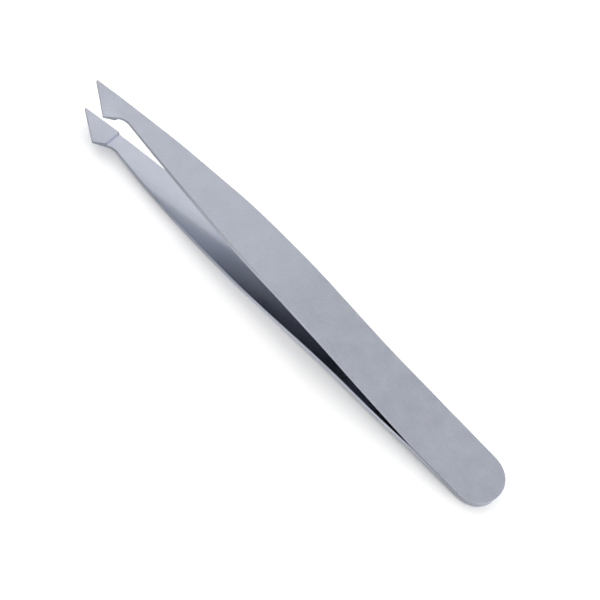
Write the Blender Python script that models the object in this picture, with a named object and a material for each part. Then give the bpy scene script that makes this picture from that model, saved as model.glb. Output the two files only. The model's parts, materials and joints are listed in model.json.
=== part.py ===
"""Slant tweezers: two bent and ground steel arms, spot-welded face to face at the heel.

They lie on a table, +Z up. The arms are laid out in a working frame: X runs from the heel end to
the tips, +Y is the claw side and Z = 0 is the mid-plane between the arms. An empty tilts that
frame so that the lower arm rests on the table at its heel end and its belly. The world origin is
on the table, under the middle of the bounding box.

Each arm bends at one hinge line across the strip, so it is cut into a heel and a blade there.
"""

import math

import bmesh
import bpy
from mathutils import Vector

# Sizes are in millimetres and angles in degrees; MM turns sizes into metres
MM = 0.001

# ---------------------------------------------------------------- strip
LENGTH = 95.0  # heel end to tip apex
STOCK = 1.0  # strip thickness
FAYING_GAP = 0.04  # clearance between the two heels
EDGE_ROUND = 0.12
ARM_SIDES = {"upper": 1, "lower": -1}  # sign of Z

# ---------------------------------------------------------------- profile
CLAMP_END = 15.0  # the heels lie flat together up to here
# (x, height of the inner face above its level at the heel)
INNER_HEIGHT = (
    (CLAMP_END, 0.0), (18.0, 0.25), (24.0, 0.77), (32.0, 1.35), (40.0, 2.15), (48.0, 3.0),
    (56.0, 3.6), (64.0, 4.12), (72.0, 4.65), (80.0, 4.96), (87.0, 5.0),
)
# (x, thickness): the strip thins behind the gripping pad
THICKNESS = ((0.0, STOCK), (64.0, STOCK), (84.0, 0.64), (87.0, 0.62))

# ---------------------------------------------------------------- plan outline
HEEL_ROUND = 5.0  # length of the rounded heel end
HEEL_POWER = 2.15  # 2 is an ellipse, more is squarer
HEEL_HALF_WIDTH = 4.6  # where the rounded end stops
APEX = (LENGTH, 0.68)  # front corner of the slanted edge
CLAW = (89.4, 4.5)  # rear corner of the slanted edge
NECK = (86.6, 2.22)  # inside corner between the claw and the claw side
APEX_ROUND = 0.15
CLAW_ROUND = 0.18
NECK_FILLET = 2.5

# (x, half width towards -Y)
STRAIGHT_SIDE = (
    (HEEL_ROUND, HEEL_HALF_WIDTH), (14.0, 4.7), (28.0, 4.35), (44.0, 4.3), (54.0, 4.0),
    (62.0, 3.55), (70.0, 2.6), (78.0, 1.7), (87.5, 0.38), (LENGTH, -APEX[1]),
)
# (x, half width towards +Y)
CLAW_SIDE = (
    (HEEL_ROUND, HEEL_HALF_WIDTH), (20.0, 4.6), (38.0, 4.3), (54.0, 4.4), (62.0, 4.2),
    (70.0, 3.75), (78.0, 3.1), (85.3, 2.34),
)
STRAIGHT_SIDE_END = LENGTH - 1.0  # the apex rounding takes over beyond here
CLAW_SIDE_END = CLAW_SIDE[-1][0]  # the neck fillet takes over beyond here

# Unit normal of the slanted edge in plan, pointing out of the tip
SLANT_LENGTH = math.hypot(APEX[0] - CLAW[0], CLAW[1] - APEX[1])
SLANT_NORMAL = (
    (CLAW[1] - APEX[1]) / SLANT_LENGTH,
    (APEX[0] - CLAW[0]) / SLANT_LENGTH,
)

# ---------------------------------------------------------------- gripping pad and tip
CLOSING_ANGLE = 4.33  # each arm turns this far before the flat pads meet
PAD_CLEARANCE = 0.02  # half the gap left between the closed pads
LEDGE_START, LEDGE_END = 87.5, 87.78  # sloped step in the inner face, up to the pad
TIP_THICKNESS = 0.45  # at the slanted edge
TIP_GRIND = 4.2  # how far back from the slanted edge the outer face is ground

# ---------------------------------------------------------------- hinge
HINGE_X = 30.0
HINGE_SPLIT = 0.12  # clearance between heel and blade
HEEL_END = HINGE_X - HINGE_SPLIT / 2
BLADE_START = HINGE_X + HINGE_SPLIT / 2

# ---------------------------------------------------------------- spot welds
WELD_POSITIONS = {"weld_nugget_rear": 5.5, "weld_nugget_front": 11.5}
WELD_DIAMETER = 3.0
WELD_THICKNESS = 0.9
WELD_CLEARANCE = 0.04  # between a nugget and its pocket, all round

# ---------------------------------------------------------------- fineness of the meshes
NOSE_STEPS = 14
APEX_STEPS = 4
CLAW_STEPS = 4
NECK_STEPS = 8
RIM_SEGMENTS = 2
DISC_SEGMENTS = 36
SHARP_ANGLE = 30.0  # edges sharper than this are shaded as creases
OUTLINE_STEP = 2.0
# Cross-sections that let the flat blank bend
HEEL_SECTION_STEP = 1.5
BLADE_SECTION_STEP = 2.0
BLADE_SECTION_END = 86.0
PAD_SECTIONS = (LEDGE_START, LEDGE_END, 89.5, 91.5, 93.5)
GRIND_SECTIONS = (0.08, 0.2, 0.36, 0.54, 0.76, 1.0)  # shares of TIP_GRIND, from the slanted edge

# ---------------------------------------------------------------- steel
ARM_COLOURS = {"upper": (0.61, 0.63, 0.67), "lower": (0.64, 0.66, 0.70)}
HEEL_ROUGHNESS = 0.38
BLADE_ROUGHNESS = 0.36
WELD_COLOUR = (0.45, 0.45, 0.46)
WELD_ROUGHNESS = 0.5


# ---------------------------------------------------------------- profile rules
def interpolate(stations, x):
    """Monotone cubic through (x, value) stations, level at the first; held beyond the ends."""
    places, values = zip(*stations)
    steps = [after - before for before, after in zip(places, places[1:])]
    slopes = [(after - before) / step for before, after, step in zip(values, values[1:], steps)]
    tangents = [0.0]
    for i in range(1, len(places) - 1):
        before, after = slopes[i - 1], slopes[i]
        if before * after <= 0:
            tangents.append(0.0)
        else:
            weight_before = 2 * steps[i] + steps[i - 1]
            weight_after = steps[i] + 2 * steps[i - 1]
            tangents.append(
                (weight_before + weight_after) / (weight_before / before + weight_after / after)
            )
    tangents.append(slopes[-1])

    x = min(max(x, places[0]), places[-1])
    i = max(j for j in range(len(steps)) if places[j] <= x)
    share = (x - places[i]) / steps[i]
    return (
        (1 + 2 * share) * (1 - share) ** 2 * values[i]
        + share * (1 - share) ** 2 * steps[i] * tangents[i]
        + share * share * (3 - 2 * share) * values[i + 1]
        + share * share * (share - 1) * steps[i] * tangents[i + 1]
    )


def arm_inner(x):
    """Inner face of the bent strip, before the pad is formed."""
    return FAYING_GAP / 2 + (interpolate(INNER_HEIGHT, x) if x > CLAMP_END else 0.0)


def arm_outer(x):
    """Outer face of the bent strip, before the tip is ground."""
    return arm_inner(x) + interpolate(THICKNESS, x)


PIVOT_Z = arm_inner(HINGE_X) + STOCK / 2


def pad_height(x):
    """Height of the open pad, which lies level at PAD_CLEARANCE once the arm has closed."""
    angle = math.radians(CLOSING_ANGLE)
    return (
        PIVOT_Z
        + (PAD_CLEARANCE - PIVOT_Z) / math.cos(angle)
        + (x - HINGE_X) * math.tan(angle)
    )


def inner_surface(x):
    """Inner face with the ledge and the pad."""
    if x <= LEDGE_START:
        return arm_inner(x)
    if x >= LEDGE_END:
        return pad_height(x)
    share = (x - LEDGE_START) / (LEDGE_END - LEDGE_START)
    return (1 - share) * arm_inner(LEDGE_START) + share * pad_height(LEDGE_END)


def outer_surface(x, y):
    """Outer face, ground down in a convex ramp towards the slanted edge."""
    full = arm_outer(x)
    behind_edge = (APEX[0] - x) * SLANT_NORMAL[0] + (APEX[1] - y) * SLANT_NORMAL[1]
    share = min(max(behind_edge / TIP_GRIND, 0.0), 1.0)
    return full - (full - pad_height(x) - TIP_THICKNESS) * (1 - share) ** 2


# ---------------------------------------------------------------- plan outlines
def half_width(stations, x):
    """Half width of the plan outline, with the rounded heel end."""
    if x >= HEEL_ROUND:
        return interpolate(stations, x)
    share = (HEEL_ROUND - x) / HEEL_ROUND
    return stations[0][1] * max(0.0, 1 - share**HEEL_POWER) ** (1 / HEEL_POWER)


def rounded_corner(before, corner, after, radius, steps):
    """Points of the arc that rounds a corner of the outline."""
    to_before = (Vector(before) - Vector(corner)).normalized()
    to_after = (Vector(after) - Vector(corner)).normalized()
    half_angle = to_before.angle(to_after) / 2
    centre = Vector(corner) + (to_before + to_after).normalized() * radius / math.sin(half_angle)
    first = Vector(corner) + to_before * radius / math.tan(half_angle) - centre
    last = Vector(corner) + to_after * radius / math.tan(half_angle) - centre
    points = []
    for i in range(steps + 1):
        share = i / steps
        spoke = (first * (1 - share) + last * share).normalized() * radius
        points.append(tuple(centre + spoke))
    return points


def stations_between(start, end, step):
    """Even stations from start to end, about one step apart."""
    count = max(1, round((end - start) / step))
    return [start + (end - start) * i / count for i in range(count + 1)]


def heel_outline():
    """From the rounded end along -Y to the hinge line, and back along +Y."""
    turns = [math.pi / 2 * i / NOSE_STEPS for i in range(NOSE_STEPS + 1)]
    nose = [HEEL_ROUND * (1 - math.cos(turn) ** (2 / HEEL_POWER)) for turn in turns]
    places = nose + stations_between(HEEL_ROUND, HEEL_END, OUTLINE_STEP)[1:]
    straight = [(x, -half_width(STRAIGHT_SIDE, x)) for x in places]
    claw_side = [(x, half_width(CLAW_SIDE, x)) for x in places[1:]]
    return straight + claw_side[::-1]


def blade_outline():
    """From the hinge line along -Y to the slanted edge, and back along +Y."""
    straight = [
        (x, -half_width(STRAIGHT_SIDE, x))
        for x in stations_between(BLADE_START, STRAIGHT_SIDE_END, OUTLINE_STEP)
    ]
    claw_side = [
        (x, half_width(CLAW_SIDE, x))
        for x in stations_between(BLADE_START, CLAW_SIDE_END, OUTLINE_STEP)
    ]
    apex = rounded_corner(straight[-1], APEX, CLAW, APEX_ROUND, APEX_STEPS)
    claw = rounded_corner(APEX, CLAW, NECK, CLAW_ROUND, CLAW_STEPS)
    neck = rounded_corner(CLAW, NECK, claw_side[-1], NECK_FILLET, NECK_STEPS)
    return straight + apex + claw + neck + claw_side[::-1]


# ---------------------------------------------------------------- scene tools
def clear_scene():
    for obj in list(bpy.data.objects):
        bpy.data.objects.remove(obj, do_unlink=True)


def new_collection(name):
    made = bpy.data.collections.new(name)
    bpy.context.scene.collection.children.link(made)
    return made


def add_empty(name, location, parent, collection):
    made = bpy.data.objects.new(name, None)
    made.empty_display_size = 0.01
    collection.objects.link(made)
    made.parent = parent
    made.location = location
    return made


def add_piece(shape, name, parent, collection):
    """Turns a bmesh into a smooth-shaded object with creased sharp edges."""
    mesh = bpy.data.meshes.new(name)
    shape.to_mesh(mesh)
    shape.free()
    mesh.shade_smooth()
    mesh.set_sharp_from_angle(angle=math.radians(SHARP_ANGLE))
    piece = bpy.data.objects.new(name, mesh)
    collection.objects.link(piece)
    piece.parent = parent
    return piece


def satin_steel(name, colour, roughness):
    material = bpy.data.materials.new(name)
    material.use_nodes = True
    shader = material.node_tree.nodes["Principled BSDF"]
    shader.inputs["Base Color"].default_value = (*colour, 1.0)
    shader.inputs["Metallic"].default_value = 1.0
    shader.inputs["Roughness"].default_value = roughness
    material.diffuse_color = (*colour, 1.0)
    return material


# ---------------------------------------------------------------- blank tools
def lies_flat(face):
    return abs(face.normal.z) > 0.5


def outline_mesh(name, outline):
    """The outline as a filled 2D curve, extruded to the strip thickness about Z = 0."""
    curve = bpy.data.curves.new(name, "CURVE")
    curve.dimensions = "2D"
    curve.fill_mode = "BOTH"
    curve.extrude = STOCK / 2 * MM
    spline = curve.splines.new("POLY")
    spline.points.add(len(outline) - 1)
    for point, (x, y) in zip(spline.points, outline):
        point.co = (x * MM, y * MM, 0.0, 1.0)
    spline.use_cyclic_u = True
    guide = bpy.data.objects.new(name, curve)
    bpy.context.scene.collection.objects.link(guide)
    graph = bpy.context.evaluated_depsgraph_get()
    mesh = bpy.data.meshes.new_from_object(guide.evaluated_get(graph))
    bpy.data.objects.remove(guide, do_unlink=True)
    return mesh


def flat_blank(name, outline):
    """The flat blank, lying on Z = 0, with one polygon for each flat face."""
    mesh = outline_mesh(name + "_outline", outline)
    blank = bmesh.new()
    blank.from_mesh(mesh)
    bpy.data.meshes.remove(mesh)
    bmesh.ops.remove_doubles(blank, verts=blank.verts, dist=1e-6)
    bmesh.ops.translate(blank, verts=blank.verts, vec=(0, 0, STOCK / 2 * MM))
    bmesh.ops.dissolve_limit(
        blank,
        angle_limit=math.radians(0.5),
        verts=[],
        edges=[
            edge
            for edge in blank.edges
            if len(edge.link_faces) == 2 and all(map(lies_flat, edge.link_faces))
        ],
    )
    bmesh.ops.recalc_face_normals(blank, faces=blank.faces)
    return blank


def round_rims(blank, split_x):
    """Rounds the two rims of the blank, but not where heel and blade are parted."""
    rims = [
        edge
        for edge in blank.edges
        if len(edge.link_faces) == 2
        and lies_flat(edge.link_faces[0]) != lies_flat(edge.link_faces[1])
        and not all(abs(vertex.co.x - split_x * MM) < 1e-6 for vertex in edge.verts)
    ]
    bmesh.ops.bevel(
        blank,
        geom=rims,
        offset=EDGE_ROUND * MM,
        offset_type="OFFSET",
        segments=RIM_SEGMENTS,
        profile=0.5,
        affect="EDGES",
        clamp_overlap=True,
    )


def slice_blank(blank, point, normal):
    """Adds the edges of a section plane and keeps both sides."""
    bmesh.ops.bisect_plane(
        blank,
        geom=blank.verts[:] + blank.edges[:] + blank.faces[:],
        dist=1e-7,
        plane_co=point,
        plane_no=normal,
    )


def slice_across(blank, places):
    for x in places:
        slice_blank(blank, (x * MM, 0, 0), (1, 0, 0))


def press_and_grind(blank, side):
    """Bends the flat blank to the arm's profile and grinds its tip."""
    for vertex in blank.verts:
        x, y = vertex.co.x / MM, vertex.co.y / MM
        share = vertex.co.z / (STOCK * MM)
        inner, outer = inner_surface(x), outer_surface(x, y)
        vertex.co.z = side * (inner + (outer - inner) * share) * MM
    if side < 0:
        bmesh.ops.reverse_faces(blank, faces=blank.faces)


def finish_piece(blank, name, material, origin, parent, collection):
    """Makes the blank an object whose origin is at the given point of the working frame."""
    bmesh.ops.translate(blank, verts=blank.verts, vec=-Vector(origin))
    bmesh.ops.triangulate(blank, faces=[face for face in blank.faces if len(face.verts) > 4])
    bmesh.ops.recalc_face_normals(blank, faces=blank.faces)
    piece = add_piece(blank, name, parent, collection)
    piece.data.materials.append(material)
    return piece


# ---------------------------------------------------------------- pieces
def make_heel(arm, rest, collection):
    heel = flat_blank(arm + "_heel", heel_outline())
    round_rims(heel, HEEL_END)
    slice_across(heel, stations_between(CLAMP_END, HEEL_END, HEEL_SECTION_STEP)[:-1])
    press_and_grind(heel, ARM_SIDES[arm])
    steel = satin_steel(arm + "_arm_steel", ARM_COLOURS[arm], HEEL_ROUGHNESS)
    return finish_piece(heel, arm + "_arm_heel", steel, (0, 0, 0), rest, collection)


def make_blade(arm, rest, collection):
    """The blade, carried by an empty at its hinge."""
    blade = flat_blank(arm + "_blade", blade_outline())
    round_rims(blade, BLADE_START)
    slice_across(blade, stations_between(BLADE_START, BLADE_SECTION_END, BLADE_SECTION_STEP)[1:])
    slice_across(blade, PAD_SECTIONS)
    outward = Vector((*SLANT_NORMAL, 0))
    for share in GRIND_SECTIONS:
        point = Vector((*APEX, 0)) - outward * TIP_GRIND * share
        slice_blank(blade, point * MM, outward)
    press_and_grind(blade, ARM_SIDES[arm])

    pivot = Vector((HINGE_X * MM, 0.0, ARM_SIDES[arm] * PIVOT_Z * MM))
    hinge = add_empty(arm + "_arm_flexure", pivot, rest, collection)
    steel = satin_steel(arm + "_blade_steel", ARM_COLOURS[arm], BLADE_ROUGHNESS)
    finish_piece(blade, arm + "_arm_blade", steel, pivot, hinge, collection)


def weld_disc(name, x, clearance, rest, collection):
    """A weld-sized disc with its axis along Z, enlarged all round by the clearance."""
    radius = (WELD_DIAMETER / 2 + clearance) * MM
    shape = bmesh.new()
    bmesh.ops.create_cone(
        shape,
        cap_ends=True,
        cap_tris=False,
        segments=DISC_SEGMENTS,
        radius1=radius,
        radius2=radius,
        depth=(WELD_THICKNESS + 2 * clearance) * MM,
    )
    piece = add_piece(shape, name, rest, collection)
    piece.location = (x * MM, 0, 0)
    return piece


def cut_weld_pockets(arm, heel, rest, cutters):
    for name, x in WELD_POSITIONS.items():
        pocket = weld_disc(f"{arm}_pocket_{name}", x, WELD_CLEARANCE, rest, cutters)
        pocket.hide_render = True
        pocket.display_type = "WIRE"
        cutting = heel.modifiers.new(f"pocket_{name}", "BOOLEAN")
        cutting.operation = "DIFFERENCE"
        cutting.solver = "EXACT"
        cutting.object = pocket


def make_weld_nuggets(rest, collection):
    for name, x in WELD_POSITIONS.items():
        nugget = weld_disc(name, x, 0.0, rest, collection)
        steel = satin_steel(name + "_steel", WELD_COLOUR, WELD_ROUGHNESS)
        nugget.data.materials.append(steel)


# ---------------------------------------------------------------- the tweezers
def resting_tilt():
    """Angle at which the lower arm touches the table at its heel end and its belly."""
    rise = max(
        (arm_outer(x) - arm_outer(0.0)) / x
        for x in stations_between(10.0, 85.0, 0.5)
    )
    return math.atan(rise)


def set_on_table(rest, collection):
    """Moves the origin to the table, under the middle of the bounding box."""
    bpy.context.view_layer.update()
    graph = bpy.context.evaluated_depsgraph_get()
    points = [
        piece.matrix_world @ vertex.co
        for piece in collection.objects
        if piece.type == "MESH"
        for vertex in piece.evaluated_get(graph).data.vertices
    ]
    low, high = (Vector([pick(axis) for axis in zip(*points)]) for pick in (min, max))
    rest.location -= Vector(((low.x + high.x) / 2, (low.y + high.y) / 2, low.z))


def build():
    clear_scene()
    tweezers = new_collection("slant_tweezers")
    cutters = new_collection("cutters")
    rest = add_empty("resting_frame", (0, 0, 0), None, tweezers)
    rest.rotation_euler = (0.0, -resting_tilt(), 0.0)

    for arm in ARM_SIDES:
        heel = make_heel(arm, rest, tweezers)
        make_blade(arm, rest, tweezers)
        cut_weld_pockets(arm, heel, rest, cutters)
    make_weld_nuggets(rest, tweezers)
    set_on_table(rest, tweezers)


build()
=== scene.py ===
"""Steel tweezers: two mirrored sheet arms, welded together at the heel, with slanted claw tips.

The arms are modelled in a working frame in millimetres: X runs from the heel end to the tips,
+Y is the claw side, -Y the straight side, and Z = 0 is the mid-plane between the arms.
WORK carries that frame into the scene, in metres.
"""
import json
import math

import bmesh
import bpy
from mathutils import Matrix, Vector


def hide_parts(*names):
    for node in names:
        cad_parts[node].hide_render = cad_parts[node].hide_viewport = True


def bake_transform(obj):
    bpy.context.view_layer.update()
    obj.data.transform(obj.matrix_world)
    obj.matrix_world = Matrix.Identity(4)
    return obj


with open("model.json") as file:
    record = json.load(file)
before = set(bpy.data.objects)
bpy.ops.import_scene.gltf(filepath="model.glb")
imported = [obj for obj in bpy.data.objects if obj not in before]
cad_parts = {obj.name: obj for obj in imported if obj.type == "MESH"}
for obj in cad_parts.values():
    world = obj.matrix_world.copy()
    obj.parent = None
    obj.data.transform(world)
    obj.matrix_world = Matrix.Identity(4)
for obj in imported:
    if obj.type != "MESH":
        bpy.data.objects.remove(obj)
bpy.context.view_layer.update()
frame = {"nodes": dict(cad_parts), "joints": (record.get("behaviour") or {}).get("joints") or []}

scene = bpy.context.scene
MM = 0.001

# ---------------------------------------------------------------- working frame
# The two hinges lie one above the other in it.
HINGE_X = 30.0
joints = {joint["name"]: joint for joint in frame["joints"]}
upper_pivot = Vector(joints["upper_arm_flex"]["pos_m"])
lower_pivot = Vector(joints["lower_arm_flex"]["pos_m"])
axis_z = (upper_pivot - lower_pivot).normalized()
axis_y = Vector((0, 1, 0))
axis_x = axis_y.cross(axis_z).normalized()
origin = (upper_pivot + lower_pivot) / 2 - axis_x * HINGE_X * MM
WORK = Matrix((axis_x, axis_y, axis_z)).transposed().to_4x4()
WORK.translation = origin
PIVOT_Z = (upper_pivot - lower_pivot).length / 2 / MM

# ---------------------------------------------------------------- sizes, mm
LENGTH = 95.0
STOCK = 1.0
SEAM = 0.012                    # mid-plane to the inner face at the heel
OUTER_SEAM = 0.02               # the same gap as the outer face counts it
CLAMP_END = 15.0                # the heels lie flat up to here

# (x, height of the inner face above the seam)
INNER_HEIGHT = (
    (15.0, 0.0), (18.0, 0.25), (24.0, 0.77), (32.0, 1.35), (40.0, 2.15), (48.0, 3.0),
    (56.0, 3.6), (64.0, 4.12), (72.0, 4.65), (80.0, 4.96), (87.0, 5.0))
# (x, thickness of the strip)
THICKNESS = ((0.0, STOCK), (64.0, STOCK), (84.0, 0.64), (87.0, 0.62))

# Plan outline: (x, distance from the centre line)
STRAIGHT_SIDE = (
    (5.0, 4.6), (14.0, 4.7), (28.0, 4.35), (44.0, 4.3), (54.0, 4.0), (62.0, 3.55),
    (70.0, 2.6), (78.0, 1.7), (87.5, 0.38), (LENGTH, -0.68))
CLAW_SIDE = (
    (5.0, 4.6), (20.0, 4.6), (38.0, 4.3), (54.0, 4.4), (62.0, 4.2), (70.0, 3.75),
    (78.0, 3.1), (85.3, 2.34))
HEEL_ROUND, HEEL_POWER = 5.0, 2.15      # length and exponent of the superelliptic heel end
HEEL_STEPS = 28
SIDE_STEP, STRAIGHT_END = 1.0, 94.0     # spacing of outline points, end of the straight side
# Corners (x, y) of the claw; the slanted edge runs from APEX to CLAW
NECK, CLAW, APEX = (86.6, 2.22), (89.4, 4.5), (LENGTH, 0.68)
NECK_FILLET, CLAW_ROUND, APEX_ROUND = 2.5, 0.18, 0.15
NECK_STEPS, CORNER_STEPS = 14, 7

# Ground pad under the tip, flat on the mid-plane when the arm is turned shut about its hinge
CLOSING_ANGLE, PAD_CLEARANCE = 4.33, 0.02       # degrees, mm
LEDGE_START, LEDGE_END = 87.5, 87.78            # step from the inner face to the pad
TIP_THICKNESS, TIP_GRIND = 0.45, 4.2            # at the slanted edge, and the width ground down

RIM_IN, RIM_OUT, RIM_SEGMENTS = 0.08, 0.05, 3   # rounding at the inner and the outer face
WELDS = (5.5, 11.5)                             # x of the nuggets
WELD_RADIUS, WELD_DEPTH, WELD_SEGMENTS = 1.54, 0.98, 40

# Where the blank is cut so that it can be bent
BLADE_CUTS = (0.6, 86.4, 0.66)                  # first x, last x, spacing
TIP_CUTS = (
    LEDGE_START - 0.06, LEDGE_START, LEDGE_START + 0.07,
    LEDGE_END - 0.07, LEDGE_END, LEDGE_END + 0.06,
    88.3, 88.8, 89.4, 90, 90.7, 91.4, 92.1, 92.8, 93.5, 94.2)
GRIND_CUTS, GRIND_CUT_POWER = 14, 1.4           # cuts parallel to the slanted edge, closer near it
LENGTHWISE_CUTS = (-3.6, -2.4, -1.2, 0.0, 1.2, 2.4, 3.6)


# ---------------------------------------------------------------- curves of the strip
def through(stations, x):
    """Monotone cubic through (x, value) stations, flat at the first station."""
    xs = [station[0] for station in stations]
    ys = [station[1] for station in stations]
    steps = [b - a for a, b in zip(xs, xs[1:])]
    slopes = [(b - a) / step for a, b, step in zip(ys, ys[1:], steps)]
    tangents = [0.0]
    for i in range(1, len(xs) - 1):
        before, after = slopes[i - 1], slopes[i]
        if before * after <= 0:
            tangents.append(0.0)
        else:
            weight_before = 2 * steps[i] + steps[i - 1]
            weight_after = steps[i] + 2 * steps[i - 1]
            tangents.append((weight_before + weight_after)
                            / (weight_before / before + weight_after / after))
    tangents.append(slopes[-1])
    x = min(max(x, xs[0]), xs[-1])
    i = max(j for j in range(len(steps)) if xs[j] <= x)
    u = (x - xs[i]) / steps[i]
    return ((1 + 2 * u) * (1 - u) ** 2 * ys[i] + u * (1 - u) ** 2 * steps[i] * tangents[i]
            + u * u * (3 - 2 * u) * ys[i + 1] + u * u * (u - 1) * steps[i] * tangents[i + 1])


def half_width(stations, x):
    if x >= HEEL_ROUND:
        return through(stations, x)
    q = (HEEL_ROUND - x) / HEEL_ROUND
    return stations[0][1] * max(0.0, 1 - q ** HEEL_POWER) ** (1 / HEEL_POWER)


def rise(x):
    return through(INNER_HEIGHT, x) if x > CLAMP_END else 0.0


def arm_inner(x):
    return SEAM + rise(x)


def arm_outer(x):
    return OUTER_SEAM + rise(x) + through(THICKNESS, x)


def pad_height(x):
    angle = math.radians(CLOSING_ANGLE)
    return (PIVOT_Z + (PAD_CLEARANCE - PIVOT_Z) / math.cos(angle)
            + (x - HINGE_X) * math.tan(angle))


def slant_distance(x, y):
    """Distance from the slanted edge, positive towards the heel."""
    dx, dy = CLAW[0] - APEX[0], CLAW[1] - APEX[1]
    return ((x - APEX[0]) * -dy + (y - APEX[1]) * dx) / math.hypot(dx, dy)


def inner_surface(x):
    if x <= LEDGE_START:
        return arm_inner(x)
    if x >= LEDGE_END:
        return pad_height(x)
    u = (x - LEDGE_START) / (LEDGE_END - LEDGE_START)
    return (1 - u) * arm_inner(LEDGE_START) + u * pad_height(LEDGE_END)


def outer_surface(x, y):
    full = arm_outer(x)
    q = min(max(slant_distance(x, y) / TIP_GRIND, 0.0), 1.0)
    return full - (full - pad_height(x) - TIP_THICKNESS) * (1 - q) ** 2


# ---------------------------------------------------------------- plan outline
def rounded_corner(before, corner, after, radius, steps):
    corner = Vector(corner)
    to_before = (Vector(before) - corner).normalized()
    to_after = (Vector(after) - corner).normalized()
    half = to_before.angle(to_after) / 2
    centre = corner + (to_before + to_after).normalized() * radius / math.sin(half)
    first = corner + to_before * radius / math.tan(half) - centre
    last = corner + to_after * radius / math.tan(half) - centre
    return [tuple(centre + (first * (1 - i / steps) + last * (i / steps)).normalized() * radius)
            for i in range(steps + 1)]


def stations_between(start, end, step):
    count = max(1, round((end - start) / step))
    return [start + (end - start) * i / count for i in range(count + 1)]


def arm_outline():
    """From the heel along the straight side to the claw, and back along the claw side."""
    turns = [math.pi / 2 * i / HEEL_STEPS for i in range(HEEL_STEPS + 1)]
    heel = [HEEL_ROUND * (1 - math.cos(turn) ** (2 / HEEL_POWER)) for turn in turns]
    neck_end = CLAW_SIDE[-1][0]
    straight = [(x, -half_width(STRAIGHT_SIDE, x))
                for x in heel + stations_between(HEEL_ROUND, STRAIGHT_END, SIDE_STEP)[1:]]
    side = [(x, half_width(CLAW_SIDE, x))
            for x in heel[1:] + stations_between(HEEL_ROUND, neck_end, SIDE_STEP)[1:]]
    apex = rounded_corner(straight[-1], APEX, CLAW, APEX_ROUND, CORNER_STEPS)
    claw = rounded_corner(APEX, CLAW, NECK, CLAW_ROUND, CORNER_STEPS)
    neck = rounded_corner(CLAW, NECK, side[-1], NECK_FILLET, NECK_STEPS)
    return straight + apex + claw + neck + side[::-1]


# ---------------------------------------------------------------- arms
OUTER, INNER, EDGE, PAD, LEDGE, GROOVE, STRAIGHT = range(7)       # material slots of an arm


def link_object(name, mesh):
    obj = bpy.data.objects.new(name, mesh)
    scene.collection.objects.link(obj)
    return obj


def mesh_from(bm, name):
    mesh = bpy.data.meshes.new(name)
    bm.to_mesh(mesh)
    bm.free()
    return mesh


def make_blank(bm):
    """Flat strip from z = 0 to STOCK, with its rims rounded and marked in the face layer."""
    outline = arm_outline()
    low = [bm.verts.new((x * MM, y * MM, 0)) for x, y in outline]
    high = [bm.verts.new((x * MM, y * MM, STOCK * MM)) for x, y in outline]
    bm.faces.new(low[::-1])
    bm.faces.new(high)
    for i in range(len(outline)):
        j = (i + 1) % len(outline)
        bm.faces.new((low[i], low[j], high[j], high[i])).material_index = EDGE
    bm.normal_update()
    rim_face = bm.faces.layers.int.new("rim_face")
    for level, radius, slot in ((0.0, RIM_IN, GROOVE), (STOCK * MM, RIM_OUT, EDGE)):
        rims = [e for e in bm.edges if all(abs(v.co.z - level) < 1e-9 for v in e.verts)]
        made = bmesh.ops.bevel(bm, geom=rims, offset=radius * MM, offset_type="OFFSET",
                               segments=RIM_SEGMENTS, profile=0.5, affect="EDGES",
                               clamp_overlap=True, material=slot)
        for face in made["faces"]:
            face[rim_face] = 1
    return rim_face


def cut(bm, point, normal):
    bmesh.ops.bisect_plane(bm, geom=bm.verts[:] + bm.edges[:] + bm.faces[:], dist=1e-7,
                           plane_co=point, plane_no=normal)


def cut_blank(bm):
    for x in (*stations_between(*BLADE_CUTS), *TIP_CUTS):
        cut(bm, (x * MM, 0, 0), (1, 0, 0))
    outward = Vector((CLAW[1] - APEX[1], APEX[0] - CLAW[0], 0)).normalized()
    for k in range(1, GRIND_CUTS + 1):
        at = Vector((*APEX, 0)) - outward * TIP_GRIND * (k / GRIND_CUTS) ** GRIND_CUT_POWER
        cut(bm, at * MM, outward)
    for y in LENGTHWISE_CUTS:
        cut(bm, (0, y * MM, 0), (0, 1, 0))


def mark_faces(bm, rim_face):
    """The "strip" map (x and y in centimetres), the "rim" attribute and the material slots."""
    strip = bm.loops.layers.uv.new("strip")
    rim = bm.loops.layers.float.new("rim")
    for face in bm.faces:
        for loop in face.loops:
            loop[strip].uv = (loop.vert.co.x / MM / 10.0, loop.vert.co.y / MM / 10.0)
            loop[rim] = float(face[rim_face])
        centre = face.calc_center_median()
        if face.material_index == OUTER and centre.z < 0.2 * STOCK * MM:
            if centre.x > LEDGE_END * MM:
                face.material_index = PAD
            elif centre.x < LEDGE_START * MM:
                face.material_index = INNER
            else:
                face.material_index = LEDGE
        # edges and rims of the straight side take a material painted darker
        elif face.material_index in (EDGE, GROOVE) and face.normal.y < -0.1:
            face.material_index = STRAIGHT


def make_arm(name, side):
    bm = bmesh.new()
    rim_face = make_blank(bm)
    cut_blank(bm)
    mark_faces(bm, rim_face)
    for vert in bm.verts:
        x, y = vert.co.x / MM, vert.co.y / MM
        share = vert.co.z / (STOCK * MM)
        inner, outer = inner_surface(x), outer_surface(x, y)
        vert.co.z = side * (inner + (outer - inner) * share) * MM
    if side < 0:
        bmesh.ops.reverse_faces(bm, faces=bm.faces)
    bmesh.ops.triangulate(bm, faces=[f for f in bm.faces if len(f.verts) > 4])
    bmesh.ops.transform(bm, matrix=WORK, verts=bm.verts)
    bmesh.ops.recalc_face_normals(bm, faces=bm.faces)
    mesh = mesh_from(bm, name)
    mesh.shade_smooth()
    return link_object(name, mesh)


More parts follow.
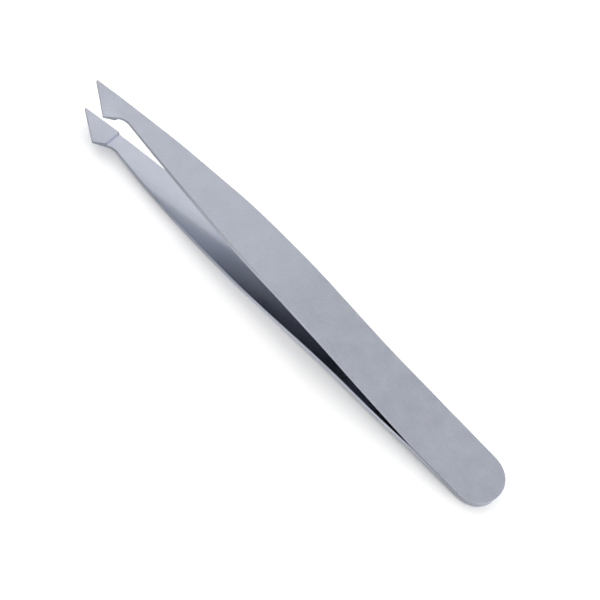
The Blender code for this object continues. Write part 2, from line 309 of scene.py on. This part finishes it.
def cut_weld_pockets(arm):
    """Room for the two weld nuggets, which sit half in each heel."""
    bm = bmesh.new()
    for x in WELDS:
        bmesh.ops.create_cone(bm, cap_ends=True, segments=WELD_SEGMENTS,
                              radius1=WELD_RADIUS * MM, radius2=WELD_RADIUS * MM,
                              depth=WELD_DEPTH * MM,
                              matrix=WORK @ Matrix.Translation((x * MM, 0, 0)))
    for face in bm.faces:
        face.material_index = INNER
    tool_mesh = mesh_from(bm, "weld_pockets")
    for mat in arm.data.materials:
        tool_mesh.materials.append(mat)
    tool = link_object("weld_pockets", tool_mesh)
    subtract = arm.modifiers.new("pockets", "BOOLEAN")
    subtract.operation = "DIFFERENCE"
    subtract.solver = "EXACT"
    subtract.object = tool
    bpy.context.view_layer.update()
    whole = arm.data
    evaluated = arm.evaluated_get(bpy.context.evaluated_depsgraph_get())
    arm.data = bpy.data.meshes.new_from_object(evaluated)
    arm.data.name = arm.name
    arm.modifiers.remove(subtract)
    bpy.data.objects.remove(tool)
    bpy.data.meshes.remove(tool_mesh)
    bpy.data.meshes.remove(whole)


def set_normals(mesh):
    """Normals follow the broad faces, so that only the narrow rims turn between them."""
    rim = mesh.attributes["rim"].data
    faces = [(p.normal.copy(), p.area, rim[p.loop_start].value > 0.5) for p in mesh.polygons]
    around = {}
    for polygon in mesh.polygons:
        if polygon.area > 1e-14:
            for vertex in polygon.vertices:
                around.setdefault(vertex, []).append(polygon.index)
    limit = math.cos(math.radians(35))
    normals = [None] * len(mesh.loops)
    for polygon in mesh.polygons:
        own = faces[polygon.index][0]
        for k in polygon.loop_indices:
            near = [faces[index] for index in around.get(mesh.loops[k].vertex_index, ())
                    if faces[index][0].dot(own) > limit]
            total = Vector()
            for normal, size, _ in [face for face in near if not face[2]] or near:
                total += normal * size
            normals[k] = total.normalized() if total.length > 0 else own
    mesh.normals_split_custom_set(normals)


# ---------------------------------------------------------------- steel
STEEL = (0.433, 0.455, 0.520)
# Painted shade: the ledge between the inner face and the pad is painted darker than the steel.
LEDGE_PAINTED_SHADE_TINT = (0.245, 0.258, 0.29)
WELD_TINT = (0.40, 0.39, 0.38)
SLANT = math.atan2(CLAW[1] - APEX[1], CLAW[0] - APEX[0])
RIM_GAIN, RIM_MIX, RIM_POLISH = 1.12, 0.7, 0.06     # worn rims: brighter and smoother

# Brightness down the strip, painted into the colour as shade and light: (x in mm, factor)
# Inner faces: painted shade in the gap between the arms, painted light around x = 25 to 29 mm.
INNER_PAINTED_SHADING = (
    (0, 0.6), (19, 0.65), (25, 1.3), (29, 1.25), (35, 0.68), (43, 0.60), (50, 0.64),
    (55, 0.75), (59, 0.80), (62, 0.90), (66, 0.97), (70, 1.0), (95, 1.0))
# Straight-side edges and rims: painted shade.
STRAIGHT_PAINTED_SHADE = ((0, 0.62), (50, 0.62), (95, 0.6))
# Other edges and outer rims: painted shade and light, a table for each arm, as the two arms are
# lit differently.
EDGE_PAINTED_SHADING = {
    "upper": ((0, 0.92), (10, 1.0), (25, 1.03), (42, 1.05), (50, 0.95), (57, 0.82),
              (66, 0.70), (74, 0.52), (95, 0.55)),
    "lower": ((0, 0.86), (7, 0.86), (11, 1.04), (15, 1.15), (21, 1.5), (28, 1.44), (36, 1.42),
              (42, 1.56), (49, 1.56), (57, 1.18), (66, 1.02), (74, 0.88), (85, 0.86),
              (89, 0.66), (95, 0.66)),
}
# Inner rims: painted shade, a table for each arm.
GROOVE_PAINTED_SHADE = {
    "upper": ((0, 0.9), (15, 0.7), (30, 0.7), (60, 0.6), (95, 0.6)),
    "lower": ((0, 0.8), (15, 0.3), (30, 0.25), (50, 0.45), (60, 0.65), (75, 0.62), (87, 0.6),
              (92, 0.5), (95, 0.5)),
}
# Painted reflection on the inner faces: the other arm's dark reflection, painted into the colour,
# ends in a slanting line: (x - 7 y + 13.3 in mm, factor)
INNER_PAINTED_REFLECTION = (
    (0, 0.75), (57, 0.75), (65, 0.81), (68.5, 0.88), (71, 1.02), (73, 1.07), (77, 1.10),
    (82, 1.15), (95, 1.18))
ASKEW_SHIFT, ASKEW_SLOPE = 1.33, -7.0               # shift in centimetres


class NodeBuilder:
    """Short calls for adding and linking the nodes of one tree."""

    def __init__(self, tree):
        self.tree = tree

    def add(self, kind, **settings):
        made = self.tree.nodes.new(kind)
        for key, value in settings.items():
            setattr(made, key, value)
        return made

    def link(self, output, socket):
        self.tree.links.new(output, socket)

    def maths(self, operation, *values):
        made = self.add("ShaderNodeMath", operation=operation)
        for socket, value in zip(made.inputs, values):
            if isinstance(value, float):
                socket.default_value = value
            else:
                self.link(value, socket)
        return made.outputs[0]

    def noise(self, vector, scale, lengthwise=1.0, detail=2.0, roughness=0.5):
        """Noise; a lengthwise factor below 1 draws it out into streaks along the strip."""
        squeeze = self.add("ShaderNodeMapping")
        squeeze.inputs["Scale"].default_value = (lengthwise, 1.0, 1.0)
        self.link(vector, squeeze.inputs["Vector"])
        made = self.add("ShaderNodeTexNoise")
        made.inputs["Scale"].default_value = scale
        made.inputs["Detail"].default_value = detail
        made.inputs["Roughness"].default_value = roughness
        self.link(squeeze.outputs["Vector"], made.inputs["Vector"])
        return made.outputs["Fac"]

    def spread(self, value, swing, centre=0.0):
        """The middle half of a noise, stretched to centre - swing .. centre + swing."""
        made = self.add("ShaderNodeMapRange")
        made.inputs["From Min"].default_value = 0.25
        made.inputs["From Max"].default_value = 0.75
        made.inputs["To Min"].default_value = centre - swing
        made.inputs["To Max"].default_value = centre + swing
        self.link(value, made.inputs["Value"])
        return made.outputs["Result"]

    def brightness(self, centimetres, stations):
        """Factor from (mm, factor) stations, halved in the ramp so that it may exceed 1."""
        ramp = self.add("ShaderNodeValToRGB")
        ramp.color_ramp.interpolation = "EASE"
        stops = ramp.color_ramp.elements
        for stop, (x, factor) in zip((stops[0], stops[1]), (stations[0], stations[-1])):
            stop.position = x / LENGTH
            stop.color = (factor / 2,) * 3 + (1,)
        for x, factor in stations[1:-1]:
            stops.new(x / LENGTH).color = (factor / 2,) * 3 + (1,)
        self.link(self.maths("DIVIDE", centimetres, LENGTH / 10), ramp.inputs["Fac"])
        return self.maths("MULTIPLY", ramp.outputs["Color"], 2.0)


def steel(name, rough, tint=STEEL, along=None, painted_reflection=None, grain_turn=0.0, streak=1.0,
          worn=False, mapped=True):
    """Satin steel: fine brushing along the strip, faint mottling and, if worn, brighter rims; the
    brightness tables paint shade, light and a reflection into the colour.
    """
    mat = bpy.data.materials.new(name)
    mat.use_nodes = True
    mat.node_tree.nodes.clear()
    b = NodeBuilder(mat.node_tree)
    out = b.add("ShaderNodeOutputMaterial")
    bsdf = b.add("ShaderNodeBsdfPrincipled")
    b.link(bsdf.outputs["BSDF"], out.inputs["Surface"])
    bsdf.inputs["Metallic"].default_value = 1.0
    turn = b.add("ShaderNodeMapping")
    turn.inputs["Rotation"].default_value = (0, 0, grain_turn)
    if mapped:
        place = b.add("ShaderNodeUVMap", uv_map="strip").outputs["UV"]
    else:
        # a piece without the strip's map: its own coordinates, in centimetres
        place = b.add("ShaderNodeTexCoord").outputs["Object"]
        turn.inputs["Scale"].default_value = (100, 100, 100)
    b.link(place, turn.inputs["Vector"])
    grid = turn.outputs["Vector"]

    streaks = b.noise(grid, scale=60.0, lengthwise=0.06, detail=3.0, roughness=0.6)
    fine = b.noise(grid, scale=220.0, lengthwise=0.05, roughness=0.6)
    mottle = b.noise(grid, scale=3.2, detail=3.0, roughness=0.55)
    grain = b.noise(grid, scale=95.0, roughness=0.6)

    level = b.maths("ADD", b.spread(streaks, swing=0.020 * streak),
                    b.maths("ADD", b.spread(mottle, swing=0.030), b.spread(grain, swing=0.020)))
    shade = b.maths("ADD", level, 1.0)
    # painted shade and light: the colour scaled down the strip
    if along:
        split = b.add("ShaderNodeSeparateXYZ")
        b.link(place, split.inputs["Vector"])
        factor = b.brightness(split.outputs["X"], along)
        # painted reflection: a further factor that ends in a slanted line
        if painted_reflection:
            slanted = b.maths("ADD", b.maths("ADD", split.outputs["X"], ASKEW_SHIFT),
                              b.maths("MULTIPLY", split.outputs["Y"], ASKEW_SLOPE))
            factor = b.maths("MULTIPLY", factor, b.brightness(slanted, painted_reflection))
        shade = b.maths("MULTIPLY", shade, factor)
    tinted = b.add("ShaderNodeMixRGB", blend_type="MULTIPLY")
    tinted.inputs["Fac"].default_value = 1.0
    tinted.inputs["Color1"].default_value = (*tint, 1)
    b.link(shade, tinted.inputs["Color2"])
    colour = tinted.outputs["Color"]
    roughness = b.maths("ADD", b.spread(streaks, swing=0.035 * streak, centre=rough),
                        b.maths("ADD", b.spread(mottle, swing=0.03), b.spread(fine, swing=0.02)))
    if worn:
        rim = b.add("ShaderNodeAttribute", attribute_name="rim").outputs["Fac"]
        bright = b.add("ShaderNodeMixRGB", blend_type="MIX")
        bright.inputs["Color2"].default_value = (*(min(1, c * RIM_GAIN) for c in tint), 1)
        b.link(b.maths("MULTIPLY", rim, RIM_MIX), bright.inputs["Fac"])
        b.link(colour, bright.inputs["Color1"])
        colour = bright.outputs["Color"]
        roughness = b.maths("SUBTRACT", roughness, b.maths("MULTIPLY", rim, RIM_POLISH))
    b.link(colour, bsdf.inputs["Base Color"])
    b.link(roughness, bsdf.inputs["Roughness"])

    # relief: the weight of each texture in the bump height
    height = b.maths("ADD", b.maths("MULTIPLY", streaks, 0.55 * streak),
                     b.maths("ADD", b.maths("MULTIPLY", fine, 0.3 * streak),
                             b.maths("MULTIPLY", grain, 0.35)))
    bump = b.add("ShaderNodeBump")
    bump.inputs["Strength"].default_value = 0.35
    bump.inputs["Distance"].default_value = 0.004 * MM
    b.link(height, bump.inputs["Height"])
    b.link(bump.outputs["Normal"], bsdf.inputs["Normal"])
    return mat


# ---------------------------------------------------------------- build the arms
outer_steel = steel("satin_steel", rough=0.27, streak=0.5, worn=True)
# inner faces: painted shade, light and reflection in the colour
inner_painted_shading_steel = steel("inner_painted_shading_steel", rough=0.20, streak=0.5, worn=True,
                    along=INNER_PAINTED_SHADING, painted_reflection=INNER_PAINTED_REFLECTION)
pad_steel = steel("ground_pad_steel", rough=0.27, streak=0.45, worn=True, grain_turn=SLANT)
# straight-side edges: painted shade in their colour
straight_painted_shade_steel = steel("straight_edge_steel", rough=0.30, streak=0.4, along=STRAIGHT_PAINTED_SHADE)
# the ledge: painted shade in its colour
ledge_painted_shade_steel = steel("ledge_painted_shade_steel", rough=0.4, tint=LEDGE_PAINTED_SHADE_TINT, streak=0.5)

for name, side in (("upper", 1), ("lower", -1)):
    arm = make_arm(name + "_arm", side)
    # each arm has its own edge and groove steel, with painted shade and light, as the two arms are
    # lit differently
    edge_steel = steel(name + "_edge_steel", rough=0.30, streak=0.4, along=EDGE_PAINTED_SHADING[name])
    groove_painted_shade_steel = steel(name + "_groove_painted_shade_steel", rough=0.36, streak=0.4,
                         along=GROOVE_PAINTED_SHADE[name])
    # in the order of the material slots
    for mat in (outer_steel, inner_painted_shading_steel, edge_steel, pad_steel, ledge_painted_shade_steel, groove_painted_shade_steel,
                straight_painted_shade_steel):
        arm.data.materials.append(mat)
    cut_weld_pockets(arm)
    set_normals(arm.data)
    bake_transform(arm)
    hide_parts(name + "_arm_heel", name + "_arm_blade")

# The weld nuggets keep their CAD shape
weld_steel = steel("weld_steel", rough=0.5, tint=WELD_TINT, mapped=False)
for name in ("weld_nugget_front", "weld_nugget_rear"):
    nugget = frame["nodes"][name]
    nugget.data.materials.clear()
    nugget.data.materials.append(weld_steel)

# ---------------------------------------------------------------- floor, metres
FLOOR_HALF, FLOOR_Z = 3.0, -0.00002
FLOOR_GLOW = 0.10               # lit a little from below, so shadows stay pale


def make_floor():
    bm = bmesh.new()
    bmesh.ops.create_grid(bm, x_segments=4, y_segments=4, size=FLOOR_HALF)
    floor = link_object("floor", mesh_from(bm, "floor"))
    floor.location.z = FLOOR_Z
    paper = bpy.data.materials.new("pale_floor")
    paper.use_nodes = True
    sheet = paper.node_tree.nodes["Principled BSDF"].inputs
    sheet["Roughness"].default_value = 0.9
    sheet["Specular IOR Level"].default_value = 0.1
    sheet["Base Color"].default_value = (0.93, 0.93, 0.93, 1)
    sheet["Emission Color"].default_value = (1, 1, 1, 1)
    sheet["Emission Strength"].default_value = FLOOR_GLOW
    floor.data.materials.append(paper)


make_floor()

# ---------------------------------------------------------------- light
# A bright tent with a dim cap around DOME_AXIS, and dimmer towards +Y.
# Levels are (cosine of the angle from the axis, brightness).
DOME_AXIS = (-0.05, -0.45, 0.89)
DOME_LEVELS = (
    (-1.0, 0.3), (0.0, 0.8), (0.55, 1.0), (0.72, 0.75), (0.88, 0.31), (0.95, 0.235),
    (1.0, 0.235))
ACROSS_AXIS = (0, 1, 0)
ACROSS_LEVELS = ((-1.0, 1.0), (-0.15, 1.0), (0.1, 0.55), (0.45, 0.24), (1.0, 0.15))
SKY_GAIN = 3.2
# Square light card, metres and watts
CARD_AT, CARD_AIM = (0.085, -0.155, 0.31), (0.045, 0, 0.01)
CARD_SIZE, CARD_POWER = 0.26, 0.05


def sky_levels(b, direction, axis, levels):
    """Brightness of the sky by its angle from an axis."""
    dot = b.add("ShaderNodeVectorMath", operation="DOT_PRODUCT")
    dot.inputs[1].default_value = Vector(axis).normalized()
    b.link(direction, dot.inputs[0])
    curve = b.add("ShaderNodeFloatCurve")
    shift = b.add("ShaderNodeMapRange")
    shift.inputs["From Min"].default_value = -1.0
    b.link(dot.outputs["Value"], shift.inputs["Value"])
    b.link(shift.outputs["Result"], curve.inputs["Value"])
    points = curve.mapping.curves[0].points
    points[0].location = ((levels[0][0] + 1) / 2, levels[0][1])
    points[1].location = ((levels[-1][0] + 1) / 2, levels[-1][1])
    for cosine, level in levels[1:-1]:
        points.new((cosine + 1) / 2, level)
    curve.mapping.update()
    return curve.outputs["Value"]


def make_world():
    world = bpy.data.worlds.new("studio")
    scene.world = world
    world.use_nodes = True
    world.node_tree.nodes.clear()
    b = NodeBuilder(world.node_tree)
    sky = b.add("ShaderNodeBackground")
    out = b.add("ShaderNodeOutputWorld")
    direction = b.add("ShaderNodeTexCoord").outputs["Generated"]
    dome = sky_levels(b, direction, DOME_AXIS, DOME_LEVELS)
    across = sky_levels(b, direction, ACROSS_AXIS, ACROSS_LEVELS)
    strength = b.maths("MULTIPLY", b.maths("MULTIPLY", dome, across), SKY_GAIN)
    b.link(strength, sky.inputs["Strength"])
    sky.inputs["Color"].default_value = (1, 1, 1, 1)
    # seen directly by the camera, the tent is plain white
    seen = b.add("ShaderNodeLightPath")
    plain = b.add("ShaderNodeBackground")
    plain.inputs["Color"].default_value = (1, 1, 1, 1)
    choice = b.add("ShaderNodeMixShader")
    b.link(seen.outputs["Is Camera Ray"], choice.inputs["Fac"])
    b.link(sky.outputs[0], choice.inputs[1])
    b.link(plain.outputs[0], choice.inputs[2])
    b.link(choice.outputs[0], out.inputs[0])


def make_card():
    data = bpy.data.lights.new("card", "AREA")
    data.shape = "RECTANGLE"
    data.size = data.size_y = CARD_SIZE
    data.energy = CARD_POWER
    card = link_object("card", data)
    card.location = CARD_AT
    card.rotation_mode = "QUATERNION"
    card.rotation_quaternion = (Vector(CARD_AIM) - Vector(CARD_AT)).to_track_quat("-Z", "Y")


make_world()
make_card()

# ---------------------------------------------------------------- camera
# Seen from above the claw side, the tips to the upper left. Angles in radians, lengths in mm.
CAMERA_ROLL, CAMERA_PITCH = 0.47065, 0.07445    # lean to the claw side, and to the heel
CAMERA_TWIST = -0.02094                         # about the line of sight
AIM_BACK, AIM_ASIDE = 1.73328, 0.00605          # aim point from mid-length, in the view plane
CAMERA_DISTANCE = 350.066513
CAMERA_LENS, SENSOR_WIDTH = 127.070552, 36.0
DIAGONAL = (0.68963, 0.72416)                   # lays the tweezers across the view


def make_camera():
    cos_roll, sin_roll = math.cos(CAMERA_ROLL), math.sin(CAMERA_ROLL)
    cos_pitch, sin_pitch = math.cos(CAMERA_PITCH), math.sin(CAMERA_PITCH)
    cos_twist, sin_twist = math.cos(CAMERA_TWIST), math.sin(CAMERA_TWIST)
    across = Vector((0, -cos_roll, sin_roll))
    along = Vector((cos_pitch, sin_roll * sin_pitch, cos_roll * sin_pitch))
    backward = Vector((-sin_pitch, sin_roll * cos_pitch, cos_roll * cos_pitch))
    tipward = along * cos_twist - across * sin_twist
    sideward = along * sin_twist + across * cos_twist
    eye = (Vector((LENGTH / 2, 0, 0)) - tipward * AIM_BACK - sideward * AIM_ASIDE
           + backward * CAMERA_DISTANCE)
    right = tipward * -DIAGONAL[0] + sideward * DIAGONAL[1]
    up = tipward * DIAGONAL[1] + sideward * DIAGONAL[0]
    turn = WORK.to_3x3() @ Matrix((right, up, backward)).transposed()
    data = bpy.data.cameras.new("camera")
    camera = link_object("camera", data)
    camera.matrix_world = Matrix.Translation(WORK @ (eye * MM)) @ turn.to_4x4()
    data.sensor_width = SENSOR_WIDTH
    data.lens = CAMERA_LENS
    data.clip_start, data.clip_end = 0.01, 20
    scene.camera = camera


make_camera()
scene.view_settings.view_transform = "Standard"
scene.view_settings.look = "None"
